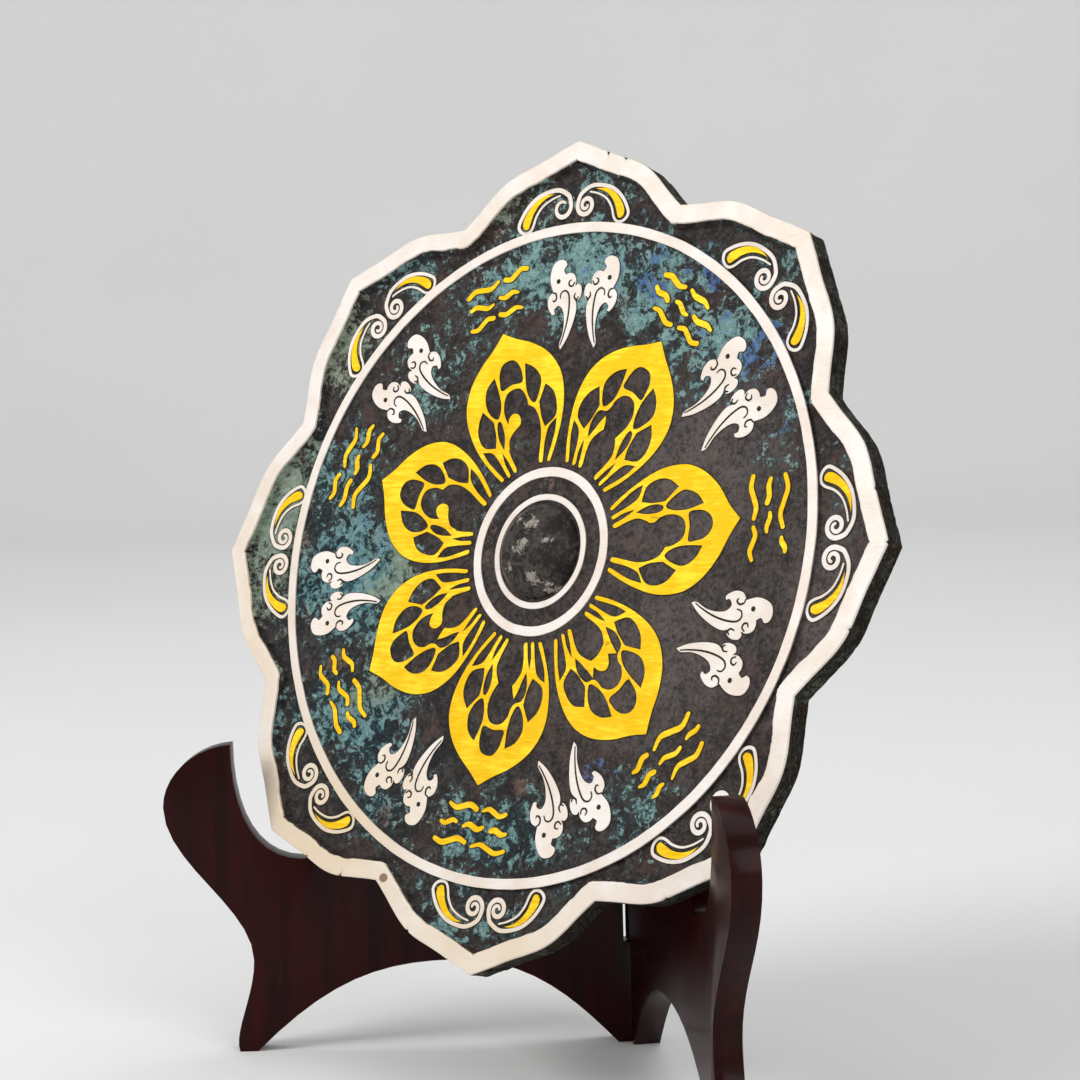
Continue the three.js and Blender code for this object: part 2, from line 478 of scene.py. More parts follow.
PALE_CRUST = (
    (-60, -6, 24, 22, 1.0), (-30, -80, 34, 18, 0.62), (-113, 16, 30, 72, 1.1),
    (-58, -42, 26, 22, 0.66), (16, 70, 24, 14, 0.48), (-28, 108, 60, 16, 0.62),
    (-96, 70, 36, 32, 0.84), (-104, -44, 24, 30, 0.78), (-30, 94, 40, 12, 0.50),
)
BLUE_CRUST = (
    (32, 82, 13, 11, 1.0), (54, 80, 12, 12, 0.9), (72, 56, 11, 17, 0.95), (14, 86, 10, 8, 0.8),
    (60, 66, 9, 8, 0.8), (82, 40, 8, 10, 0.7), (30, -66, 12, 9, 0.6), (-70, 4, 20, 14, 0.5),
    (-62, -50, 14, 16, 0.5),
)
BROWN_CRUST = (
    (5, -72, 7, 6, 1.0), (-75, -36, 12, 9, 0.7), (0, 20, 12, 6, 0.6), (2, -21, 10, 4, 0.6),
    (-20, 4, 4, 16, 0.6), (40, -96, 12, 6, 0.6), (-96, 6, 7, 11, 0.55), (-46, -82, 9, 7, 0.6),
    (62, -52, 8, 10, 0.45), (22, 76, 6, 5, 0.6), (-58, 22, 8, 9, 0.7),
)
KNOB_CRUST = (
    (-2.8, 0.4, 5.2, 4.6, 1.0), (0.2, 7.4, 6.4, 4.0, 0.95), (2.6, -9.0, 5.6, 4.0, 0.9),
    (7, -11.0, 4.0, 3.0, 0.8), (-6.5, 9.0, 4.0, 3.2, 0.8), (6.5, 2.6, 4.0, 3.4, 0.7),
    (-7.5, -6.0, 3.4, 3.4, 0.7),
)
# painted shade: a bluish darkening over the left and the bottom of the face
PAINTED_SHADE_LEFT_AND_BOTTOM = ((-84, -14, 46, 84, 0.95), (-52, -62, 60, 44, 0.9), (6, -92, 70, 34, 0.7))
# darker, golden silver on the lower left and bottom: partly tarnish, partly painted shade
TARNISH_AND_SHADE = ((-70, -88, 66, 54, 0.85), (-110, -30, 34, 66, 0.45), (0, -118, 70, 24, 0.60))
RUSTY_CHIP = ((-39.2, -101.4, 2.4, 1.9, 1.0),)


@once
def patinated_bronze():
    """The knobbed side: black-brown bronze under zones of green, blue and brown crust."""
    own = colours()
    f = Finish("patinated bronze", roughness=0.5, specular=0.14)
    place = f.mirror_place()
    ragged = f.warped(place, 0.09, 55)
    crumbled = f.warped(place, 0.45, 9)
    broad = f.fit(f.noise(place, 0.05, 6, 0.6, 0.6), 0.36, 0.64)
    middle = f.fit(f.noise(place, 0.19, 8, 0.66, 0.9, offset=31), 0.38, 0.62)
    fine = f.fit(f.noise(place, 0.7, 7, 0.68, 0.4, offset=57), 0.34, 0.66)
    grain = f.fit(f.noise(place, 2.4, 5, 0.7, offset=13), 0.36, 0.64)
    crowd = f.weighed((0.38, middle), (0.36, fine), (0.26, broad))
    gritty = f.weighed((0.5, fine), (0.32, grain), (0.18, middle))

    def crusted(face, ground, patches, crumble, begin, full, strength, dark, light):
        """The face under a crust that grows on the patches, and how much of it there is."""
        grown = f.fit(f.math("ADD", f.spots(ground, patches), crumble), begin, full)
        return f.over(face, f.blend(gritty, dark, light), grown, strength), grown

    face = f.blend(f.fit(gritty, 0.1, 0.9), own.bronze_dark, own.bronze_brown)
    red = f.fit(f.noise(place, 0.11, 5, 0.6, offset=77), 0.52, 0.66)
    face = f.over(face, (0.095, 0.045, 0.036), red, 0.45)
    face = f.over(face, (0.014, 0.011, 0.010), f.fit(middle, 0.45, 0.0), 0.55)
    # the right of the field and border lightened, partly as bare bronze and partly as painted
    # sheen
    face = f.over(face, (0.128, 0.108, 0.101), f.spots(ragged, BARE_BRONZE_AND_SHEEN),
                  f.fit(gritty, 0.0, 0.9, 0.10, 0.80))

    green = f.spots(ragged, GREEN_CRUST)
    film = f.fit(f.math("ADD", green, crowd), 0.86, 1.30)
    face = f.over(face, f.blend(gritty, own.film_dark, own.film_light), film, 0.85)
    powder = f.math("ADD", green, f.weighed((0.52, middle), (0.28, fine), (0.12, grain),
                                            (0.08, broad)))
    crust = f.fit(powder, 1.10, 1.46)
    face = f.over(face, f.blend(gritty, own.crust_deep, own.crust_pale), crust, 0.88)
    rim = f.math("MULTIPLY", f.fit(powder, 1.16, 1.22), f.fit(powder, 1.34, 1.24))
    face = f.over(face, own.crust_pale, rim, f.fit(gritty, 0.2, 0.8, 0.1, 0.6))

    face, pale = crusted(face, ragged, PALE_CRUST, crowd, 1.02, 1.40, 0.85,
                         (0.13, 0.165, 0.125), (0.34, 0.40, 0.30))
    face, _ = crusted(face, ragged, BLUE_CRUST, f.weighed((0.5, middle), (0.5, fine)),
                      1.02, 1.40, 0.8, (0.020, 0.045, 0.17), (0.10, 0.20, 0.46))
    face, _ = crusted(face, crumbled, BROWN_CRUST, crowd, 0.92, 1.30, 0.75,
                      (0.055, 0.026, 0.018), (0.21, 0.12, 0.085))

    on_knob = f.spot(place, (0, 0), (KNOB_RADIUS + 1.2, KNOB_RADIUS + 1.2), 0.10)
    # the knob's own dark bronze tone, lifted overall as painted sheen
    knob_tone_and_sheen = f.blend(f.fit(crowd, 0.3, 0.75), (0.012, 0.010, 0.009), (0.062, 0.052, 0.047))
    face = f.over(face, knob_tone_and_sheen, on_knob, 0.9)
    face, mineral = crusted(face, crumbled, KNOB_CRUST, f.weighed((0.4, fine), (0.3, grain)),
                            0.86, 1.06, 0.8, (0.17, 0.145, 0.11), (0.50, 0.46, 0.39))

    # painted shade, multiplied over the left and the bottom of the face
    face = f.over(face, (0.30, 0.52, 0.66), f.spots(ragged, PAINTED_SHADE_LEFT_AND_BOTTOM),
                  f.fit(middle, 0.8, 0.1, 0.3, 0.95), "MULTIPLY")
    specks = f.fit(f.noise(place, 1.5, 5, 0.75, offset=91), 0.62, 0.70)
    face = f.over(face, (0.36, 0.38, 0.34), specks, f.fit(green, 0.0, 0.6, 0.25, 0.6))
    holes = f.fit(f.noise(place, 1.15, 6, 0.75, offset=47), 0.40, 0.34)
    face = f.over(face, (0.010, 0.008, 0.007), holes, 0.7)

    covered = f.math("MAXIMUM", f.math("MAXIMUM", film, pale), mineral)
    rough = f.fit(f.weighed((0.8, covered), (0.4, grain)), 0.0, 1.2, 0.42, 0.92)
    rough = f.math("MULTIPLY", rough, f.fit(on_knob, 0, 1, 1.0, 0.42))
    height = f.weighed((0.30, f.fit(f.pits(place, 1.7), 0.0, 0.40)), (0.42, fine),
                       (0.20, middle), (0.25, crust), (-0.5, holes))
    normal = f.bump(height, 0.7, 0.00028)
    normal = f.bump(grain, 0.5, 0.00006, normal)
    return f.use(Base_Color=face, Roughness=rough, Normal=normal)


@once
def cast_wall():
    """The rough cast wall and the plain back: black-brown with crust, pits and pale specks."""
    f = Finish("rough cast bronze", roughness=0.7, specular=0.12)
    place = f.mirror_place()
    middle = f.fit(f.noise(place, 0.16, 7, 0.68, 0.6), 0.38, 0.62)
    fine = f.fit(f.noise(place, 0.7, 6, 0.72, offset=17), 0.38, 0.62)
    grain = f.fit(f.noise(place, 2.2, 4, 0.65, offset=5), 0.38, 0.62)
    olive = f.fit(f.noise(place, 0.10, 6, 0.66, offset=71), 0.52, 0.62)
    rust = f.fit(f.noise(place, 0.13, 6, 0.66, offset=39), 0.56, 0.64)
    specks = f.fit(f.noise(place, 1.0, 6, 0.75, offset=61), 0.60, 0.68)
    base = f.blend(f.fit(fine, 0.2, 0.9), (0.008, 0.007, 0.005), (0.060, 0.052, 0.036))
    base = f.over(base, (0.030, 0.020, 0.013), middle, 0.5)
    base = f.over(base, (0.125, 0.145, 0.110), olive, f.fit(fine, 0.2, 0.8, 0.1, 0.8))
    base = f.over(base, (0.110, 0.052, 0.026), rust, f.fit(fine, 0.1, 0.9, 0.1, 0.7))
    base = f.over(base, (0.34, 0.33, 0.28), specks, 0.75)
    base = f.over(base, (0.005, 0.004, 0.003), f.fit(grain, 0.3, 0.0), 0.6)
    normal = f.bump(f.math("ADD", fine, f.fit(f.pits(place, 0.7), 0.0, 0.5)), 0.9, 0.0006)
    normal = f.bump(grain, 0.5, 0.00012, normal)
    return f.use(Base_Color=base, Roughness=f.fit(middle, 0.0, 1.0, 0.5, 0.85), Normal=normal)


@once
def worn_silver():
    own = colours()
    f = Finish("worn silver", metallic=0.15, roughness=0.5, specular=0.4)
    place = f.mirror_place()
    cloud = f.noise(place, 0.06, 5, 0.6)
    streak = f.noise(f.stretched(place, (0.25, 3.0, 1.0), 0.4), 1.0, 4, 0.6)
    fine = f.noise(place, 1.3, 5, 0.72, offset=23)
    base = f.blend(f.fit(cloud, 0.38, 0.64), own.silver, own.silver_warm)
    # silver made darker and golden on the lower left and bottom, partly as tarnish and partly
    # as painted shade
    base = f.blend(f.spots(place, TARNISH_AND_SHADE), base, (0.70, 0.555, 0.375))
    base = f.over(base, (0.56, 0.50, 0.44), f.fit(streak, 0.52, 0.72), 0.35)
    base = f.over(base, (0.20, 0.165, 0.13), f.fit(fine, 0.63, 0.74), 0.6)
    base = f.over(base, (0.58, 0.50, 0.42), f.fit(fine, 0.42, 0.32), 0.35)
    chip = f.fit(f.math("ADD", f.spots(place, RUSTY_CHIP, 0.7), f.math("MULTIPLY", fine, 0.3)),
                 0.45, 0.6)
    base = f.over(base, (0.16, 0.07, 0.025), chip, 0.85)
    worn = f.math("ADD", streak, fine)
    return f.use(Base_Color=base, Roughness=f.fit(worn, 0.7, 1.3, 0.40, 0.62),
                 Normal=f.bump(worn, 0.35, 0.00014))


@once
def brushed_gold():
    own = colours()
    f = Finish("brushed gold", metallic=0.75, roughness=0.45, specular=0.3)
    place = f.mirror_place()
    streak = f.noise(f.stretched(place, (0.12, 1.1, 1.0), -0.5), 1.0, 5, 0.6, 0.2)
    hair = f.noise(f.stretched(place, (0.4, 6.0, 1.0), -0.62), 1.0, 4, 0.6, offset=9)
    cloud = f.noise(place, 0.09, 3, 0.5, offset=41)
    worn = f.fit(f.noise(place, 1.3, 5, 0.72, offset=63), 0.66, 0.74)
    base = f.blend(f.fit(f.math("ADD", streak, cloud), 0.92, 1.24), own.gold, own.gold_pale)
    base = f.over(base, (0.78, 0.58, 0.09), f.fit(hair, 0.54, 0.66), 0.5)
    base = f.over(base, (0.44, 0.22, 0.001), f.fit(hair, 0.44, 0.30), 0.6)
    base = f.over(base, (0.26, 0.16, 0.02), worn, 0.6)
    return f.use(Base_Color=base, Roughness=f.fit(hair, 0.3, 0.7, 0.34, 0.52),
                 Normal=f.bump(hair, 0.4, 0.00014))


@once
def bedding():
    """The dark filler that shows as a thin line round an inlay."""
    f = Finish("dark bedding", roughness=0.75, specular=0.25)
    fine = f.noise(f.mirror_place(), 1.5, 4, 0.6)
    base = f.blend(f.fit(fine, 0.35, 0.65), (0.008, 0.007, 0.005), (0.040, 0.030, 0.014))
    return f.use(Base_Color=base, Normal=f.bump(fine, 0.4, 0.0002))


@once
def red_lacquer():
    own = colours()
    f = Finish("dark red lacquer", roughness=0.3, coat=0.06, specular=0.10)
    place = f.object_place()
    grain = f.noise(f.stretched(place, (60, 60, 6)), 3.0, 5, 0.6, 0.6)
    broad = f.noise(place, 14, 3, 0.5, offset=3)
    base = f.blend(f.fit(grain, 0.35, 0.68), own.lacquer, own.lacquer_bright)
    base = f.over(base, (0.012, 0.001, 0.001), f.fit(broad, 0.45, 0.7), 0.4)
    normal = f.bump(grain, 0.10, 0.0002)
    ripple = f.bump(f.noise(place, 60, 2, 0.5, offset=5), 0.08, 0.0006, normal)
    return f.use(Base_Color=base, Roughness=f.fit(broad, 0.3, 0.7, 0.22, 0.36), Normal=ripple)


@once
def studio_paper():
    f = Finish("pale studio paper", roughness=0.9, specular=0.1)
    place = f.object_place()
    pale = bpy.context.scene.mirror_stage.floor_colour
    base = f.blend(f.fit(f.noise(place, 3, 2, 0.4), 0.3, 0.7), pale, [0.98 * c for c in pale])
    return f.use(Base_Color=base, Normal=f.bump(f.noise(place, 900, 3, 0.5), 0.05, 0.0001))


# ---- sizes and colours that a user may change ----

def length_prop(name, description, default, most):
    return FloatProperty(name=name, description=description, default=default, min=0, max=most,
                         unit="LENGTH", precision=5)


def colour_prop(name, description, default):
    return FloatVectorProperty(name=name, description=description, default=default,
                               subtype="COLOR", min=0, max=1)


def power_prop(name, description, default):
    return FloatProperty(name=name, description=description, default=default, min=0,
                         unit="POWER")


def angle_prop(name, description, degrees):
    return FloatProperty(name=name, description=description, default=math.radians(degrees),
                         unit="ROTATION")


class MirrorCasting(bpy.types.PropertyGroup):
    """The cast disc"""
    around: IntProperty(name="Steps round", description="Columns of faces round the casting",
                        default=768, min=96, max=900)
    wall_wear: length_prop("Wall wear", "Depth of the cast wall's roughness", 0.0005, 0.002)
    face_wear: length_prop("Face wear", "Depth of the field's unevenness", 0.00009, 0.001)
    band_wear: length_prop("Band wear", "Raggedness of the silver band", 0.0004, 0.002)


class MirrorInlays(bpy.types.PropertyGroup):
    """The silver and gold sheets"""
    stand: length_prop("Stand", "How far a sheet stands above the bronze", 0.0003, 0.001)
    bed_line: length_prop("Bedding line", "Width of the dark line round it", 0.00026, 0.001)
    stroke_seed: IntProperty(name="Stroke seed", description="Draws other rows of strokes",
                             default=7, min=0)


class MirrorColours(bpy.types.PropertyGroup):
    """Colours of the finishes"""
    bronze_dark: colour_prop("Dark bronze", "Deepest bronze tone", (0.009, 0.007, 0.006))
    bronze_brown: colour_prop("Brown bronze", "Lighter bronze tone", (0.070, 0.056, 0.051))
    film_dark: colour_prop("Dark film", "Deep part of the green film", (0.012, 0.028, 0.032))
    film_light: colour_prop("Light film", "Light part of the green film", (0.060, 0.122, 0.130))
    crust_deep: colour_prop("Deep crust", "Deep part of the green crust", (0.055, 0.155, 0.155))
    crust_pale: colour_prop("Pale crust", "Powdery top of the crust", (0.310, 0.490, 0.465))
    silver: colour_prop("Silver", "Clean silver", (0.82, 0.760, 0.710))
    silver_warm: colour_prop("Warm silver", "Silver with a warm tinge", (0.76, 0.66, 0.57))
    gold: colour_prop("Gold", "Full gold", (0.70, 0.410, 0.001))
    gold_pale: colour_prop("Pale gold", "Brushed, paler gold", (0.80, 0.570, 0.022))
    lacquer: colour_prop("Lacquer", "Deep tone of the lacquer", (0.012, 0.0006, 0.0004))
    lacquer_bright: colour_prop("Bright lacquer", "Where it is thin", (0.028, 0.0012, 0.001))


class MirrorStand(bpy.types.PropertyGroup):
    """The folding stand"""
    edge: length_prop("Edge rounding", "Rounding of the boards' edges", 0.0008, 0.003)


class MirrorStage(bpy.types.PropertyGroup):
    """Floor, light and camera"""
    floor_colour: colour_prop("Floor", "Colour of the floor", (0.84, 0.84, 0.83))
    key: power_prop("Key light", "Strength of the main light", 25.0)
    fill: power_prop("Fill light", "Strength of the lights on the right and above", 9.0)
    backdrop: power_prop("Backdrop light", "Strength of the light behind", 15.0)
    distance: FloatProperty(name="Camera distance", description="From lens to mirror",
                            default=0.7977, min=0.2, unit="LENGTH")
    azimuth: angle_prop("Camera azimuth", "Round to the right of the front", 40.701)
    pitch: angle_prop("Camera pitch", "How far it looks down", 3.887)
    roll: angle_prop("Camera roll", "Turn about its own line of sight", 1.588)


# ---- the casting ----

class BuildCasting(bpy.types.Operator):
    """Turn the disc, bend it to its lobes and wear its wall"""
    bl_idname = "mirror.casting"
    bl_label = "Casting"

    FOOT = TIP_RADIUS - RIM_FOOT
    KNOB_SKIRT = [15.2, 16.6, 18.5]
    RING_LEDGE = [(98.35, -0.75), (98.6, -0.35), (101.4, -0.35), (101.65, -0.9)]
    SEAT_INSETS = (4.6, 2.8, 1.2, 0.35)
    WALL_HEIGHT = 6.7
    BACK_RADII = (123, 117, 108, 96, 82, 66, 48, 30, 14, 0)
    # anything below this height belongs to the back
    BACK_TOP = BACK + 0.3

    def profile(self):
        """Half section of the disc, from the top of the knob over the rim to the back."""
        knob_foot = field_height(KNOB_RADIUS)
        rows = []
        for i in range(13):
            bow = math.radians(90 - 7.5 * i)
            rows.append((KNOB_RADIUS * math.cos(bow), knob_foot + KNOB_HEIGHT * math.sin(bow)))
        rows[0] = (0, rows[0][1])
        rows[-1] = (KNOB_RADIUS, knob_foot)
        field = self.KNOB_SKIRT + [20 + (FIELD_EDGE - 20.4) * i / 22 for i in range(23)]
        rows += [(radius, field_height(radius)) for radius in field]
        rows += self.RING_LEDGE
        rows += [(RING_EDGE + (self.FOOT - RING_EDGE) * i / 14, border_height(i / 14))
                 for i in range(15)]
        crest = border_height(1)
        for i in range(1, 8):
            share = i / 7
            rise = share * share * (3 - 2 * share)
            rows.append((self.FOOT + (RIM_FOOT - RIM_BAND) * share,
                         crest + (RIM_SEAT - crest) * rise))
        rows += [(TIP_RADIUS - inset, RIM_SEAT) for inset in self.SEAT_INSETS]
        rows += [(TIP_RADIUS, RIM_SEAT + 0.15)]
        rows += [(TIP_RADIUS, RIM_SEAT - 0.25 - self.WALL_HEIGHT * i / 13) for i in range(14)]
        rows += [(TIP_RADIUS - 0.35, BACK + 0.15), (TIP_RADIUS - 0.9, BACK)]
        return rows + [(radius, BACK) for radius in self.BACK_RADII]

    def bent(self, radius, angle, lobed_foot, on_back):
        """Radius of a point of the turned disc once it is bent to its lobes."""
        if radius > self.FOOT:
            return inset_radius(angle, TIP_RADIUS - radius)
        if radius <= RING_EDGE:
            return radius
        if on_back:
            return radius * lobed_foot / self.FOOT
        return RING_EDGE + (lobed_foot - RING_EDGE) * (radius - RING_EDGE) \
            / (self.FOOT - RING_EDGE)

    def worn(self, spot, radius, bent, on_back, wall_wear, face_wear):
        """Radius and height of a point once it is roughened as a cast and aged one is."""
        height = spot.z
        if radius > TIP_RADIUS - 1.0:
            rough = 0.5 + 0.5 * noise.fractal(spot * 0.35, 0.9, 2.1, 4)
            pit = max(0.0, noise.noise(spot * 0.9 + Vector((7, 3, 1))) - 0.25)
            below_seat = min(1.0, max(0.15, (RIM_SEAT - height) / 1.5))
            return bent - wall_wear * (rough * 0.8 + pit * 1.6) * below_seat, height
        if on_back:
            return bent, height + 0.12 * (0.5 + 0.5 * noise.noise(spot * 0.08))
        if radius < FIELD_EDGE - 0.5 or RING_EDGE < radius < self.FOOT:
            height += face_wear * noise.fractal(Vector((spot.x, spot.y, 0)) * 0.09, 1.0, 2.1, 4)
        if radius > RING_EDGE + 1:
            height += 0.16 * noise.noise(spot * 0.24) * min(1, (radius - RING_EDGE) / 5)
        if self.FOOT - 0.6 < radius < TIP_RADIUS - RIM_BAND - 0.2:
            crumbly = noise.fractal(spot * 0.5, 0.9, 2.1, 4)
            bent += 0.55 * crumbly
            height += 0.25 * max(0.0, crumbly)
        return bent, height

    def execute(self, context):
        sizes = context.scene.mirror_casting
        wear = sizes.wall_wear / MM, sizes.face_wear / MM
        bm = spun(self.profile(), sizes.around)
        lobed_feet = {}
        for vert in bm.verts:
            x, y, height = vert.co
            radius = math.hypot(x, y)
            if radius < 1e-6:
                continue
            angle = clockwise_angle(vert.co)
            column = round(angle, 5)
            if column not in lobed_feet:
                lobed_feet[column] = inset_radius(angle, RIM_FOOT)
            on_back = height <= self.BACK_TOP
            bent = self.bent(radius, angle, lobed_feet[column], on_back)
            spot = Vector((x / radius * bent, y / radius * bent, height))
            bent, height = self.worn(spot, radius, bent, on_back, *wear)
            vert.co = (x / radius * bent, y / radius * bent, height)
        close_shell(bm)
        for face in bm.faces:
            middle = face.calc_center_median()
            inside = edge_radius(clockwise_angle(middle)) - math.hypot(middle.x, middle.y)
            if middle.z < BACK + 0.4 or (inside < 0.6 and middle.z < RIM_SEAT + 0.2):
                face.material_index = 1
        bm.transform(MIRROR_PLACE)
        piece = finished("casting", mesh_from(bm), [patinated_bronze(), cast_wall()],
                         60)
        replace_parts(piece, "mirror_disc")
        return {"FINISHED"}


# ---- silver band and rings ----

class BuildSilverLines(bpy.types.Operator):
    """Lay the band on the lobed rim and the three rings"""
    bl_idname = "mirror.silver_lines"
    bl_label = "Silver band and rings"

    # the band's cracks, each (degrees clockwise from the top tip, depth, half width)
    CRACKS = ((5.75, 2.0, 0.26), (9.2, 0.9, 0.5), (83.0, 0.5, 0.5), (101.5, 0.7, 0.3),
              (209.5, 1.3, 0.3), (217.0, 0.7, 0.35), (90.0, 0.8, 0.22), (193.0, 0.6, 0.4),
              (146.0, 0.5, 0.5), (311.0, 0.5, 0.4))
    BAND_STEPS = 1536
    # how far the noise is drawn out round the rim
    RIPPLES = 26

    def band(self, wear):
        profile = strip_profile(TIP_RADIUS - RIM_BAND, TIP_RADIUS, RIM_SEAT + 0.05, RIM_TOP,
                                0.25)
        profile[6:6] = [(TIP_RADIUS - inset, RIM_TOP) for inset in (2.1, 1.2)]
        bm = spun(profile, self.BAND_STEPS)
        for vert in bm.verts:
            x, y, height = vert.co
            inset = TIP_RADIUS - math.hypot(x, y)
            angle = clockwise_angle(vert.co)
            inner = max(0.0, (inset - RIM_BAND * 0.6) / (RIM_BAND * 0.4))
            outer = max(0.0, 1 - inset / (RIM_BAND * 0.35))
            place = Vector((math.sin(angle), math.cos(angle), 0)) * self.RIPPLES
            ragged = noise.fractal(place, 0.8, 2.2, 5)
            worse = 0.5 + 1.3 * max(0.0, noise.noise(place * 0.12 + Vector((3, 9, 1))) + 0.1)
            inset += wear * ragged * worse * inner
            inset += wear * 0.35 * (0.5 + 0.5 * noise.noise(place * 0.9)) * outer
            drop = 0.0
            for where, depth, half in self.CRACKS:
                off = abs((math.degrees(angle) % 360 - where + 180) % 360 - 180) \
                    * math.pi / 180 * edge_radius(angle)
                if off < half * 2 and inset < depth:
                    share = max(0.0, 1 - off / (half * 2))
                    inset = max(inset, depth * share)
                    drop = max(drop, 0.5 * share)
            if height > RIM_SEAT + 0.3:
                wave = noise.noise(place * 0.6 + Vector((0, 0, inset * 0.3)))
                height += 0.05 * wave - 0.05 - drop
            radius = inset_radius(angle, inset)
            vert.co = (math.sin(angle) * radius, math.cos(angle) * radius, height)
        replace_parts(self.silver("rim_band", bm), "silver_rim_band")

    def silver(self, name, bm):
        close_shell(bm)
        bm.transform(MIRROR_PLACE)
        return finished(name, mesh_from(bm), [worn_silver()], 50)

    def ring(self, name, inner, outer, level, node, steps):
        bm = spun(strip_profile(inner, outer, level - 0.5, level, 0.1), steps)
        for vert in bm.verts:
            radius = math.hypot(vert.co.x, vert.co.y)
            way = Vector((vert.co.x, vert.co.y, 0)) / radius
            waver = 0.10 * noise.fractal(way * outer * 0.16 + Vector((outer, 0, radius)), 1.0,
                                         2.1, 3)
            vert.co.x += way.x * waver
            vert.co.y += way.y * waver
        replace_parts(self.silver(name, bm), node)

    def execute(self, context):
        self.band(context.scene.mirror_casting.band_wear / MM)
        stand = inlay_sizes().stand / MM
        self.ring("field_ring", 98.45, 101.55, 0.0, "silver_field_ring", 720)
        self.ring("knob_ring_outer", 23.0, 25.9, field_height(24.4) + stand,
                  "silver_knob_ring_outer", 256)
        self.ring("knob_ring_inner", 15.7, 17.6, field_height(16.6) + stand,
                  "silver_knob_ring_inner", 192)
        return {"FINISHED"}


# ---- the gold petals ----

# a petal drawn upright on its axis, as the half to the right; a third value is a sharp corner
OUTER_HALF = [
    (0, 73, 1), (4.6, 69.4), (10.4, 65.7), (15.5, 60.7), (18.5, 55), (19.2, 49.5), (18.4, 43.5),
    (16.2, 37.4), (13.1, 31.6), (10.2, 27.2), (9.4, 26.5), (8.7, 27.3),
]
# foot of a side with three strands, from the outer slot up to the top of the middle opening
STRANDS = [
    (11.1, 31.0), (13.4, 34.6), (14.9, 38.2, 1), (11.3, 36.7), (9.2, 32.9), (7.2, 27.8),
    (6.5, 27.0), (5.9, 27.9), (7.2, 31.4), (7.7, 35.4, 1), (5.9, 31.8), (4.6, 28.4),
    (3.9, 27.6), (3.2, 28.6), (4.4, 32.5), (5.0, 36.3), (4.1, 39.2), (2.8, 41.3, 1),
]
THREE_STRANDS = STRANDS + [(3.9, 44.0), (4.6, 47.0), (4.3, 50.2), (2.6, 53.0)]
# the same, with the small slot open to the middle so that a thorn stands free
THORNED = STRANDS + [
    (3.7, 43.4), (4.8, 45.2, 1), (5.6, 42.4), (6.2, 39.2), (6.9, 36.6, 1), (8.2, 39.4),
    (8.6, 42.4), (7.8, 45.2), (5.5, 46.4), (4.5, 48.2), (4.3, 50.6), (2.6, 53.0),
]
# foot of a side with two strands, where the opening is wider
TWO_STRANDS = [
    (11.2, 31.4), (13.2, 35.0), (14.6, 38.8, 1), (11.2, 37.2), (8.8, 33.0), (7.2, 28.2),
    (6.4, 27.2), (5.6, 28.2), (6.6, 32.0), (8.0, 36.5), (8.2, 41.0), (7.2, 44.8),
    (4.9, 46.8, 1), (4.6, 49.8), (2.9, 53.0),
]
TOP_CELL = [
    (-4.1, 55.1), (0, 55.5), (4.1, 55.1), (4.5, 57.6), (4.0, 60.6), (2.4, 62.9), (0, 63.6),
    (-2.4, 62.9), (-4.0, 60.6), (-4.5, 57.6),
]
UPPER_CELL = [(6.3, 60.3, 1), (9.6, 57.7), (11.2, 53.6), (10.0, 49.6), (7.3, 46.9), (5.5, 50.0),
              (5.2, 54.6)]
LOWER_CELL = [(12.5, 51.0, 1), (15.0, 47.8), (15.7, 43.8), (14.3, 39.8), (9.9, 37.8, 1),
              (9.1, 41.5), (9.0, 46.4, 1)]
SMALL_SLOT = [(6.4, 45.6), (7.6, 45.6), (8.3, 43.0), (8.1, 39.6), (6.9, 36.1, 1), (5.9, 39.8),
              (5.8, 43.4)]
# what may grow in the middle opening
CLUB = [(-5.2, 45.6, 1), (-4.0, 42.9, 1), (-3.0, 45.2), (-1.0, 46.3), (1.0, 44.8), (0.9, 42.0),
        (-2.2, 40.4), (-4.3, 38.2), (-4.6, 35.0, 1), (-5.6, 38.0)]
KNOP = [(-4.7, 44.6), (-3.3, 43.4), (-2.9, 41.8), (-4.0, 39.8), (-5.2, 38.4), (-5.6, 41.5)]
CROWN = [(-5.4, 46.0, 1), (-5.6, 41.6), (-5.2, 37.0, 1), (-4.0, 39.8), (0, 41.6), (3.6, 41.0),
         (6.0, 38.2, 1), (5.6, 41.0), (5.2, 46.0, 1), (3.2, 43.6, 1), (2.3, 45.8), (0.4, 47.4),
         (-1.6, 46.4), (-2.9, 43.8, 1)]


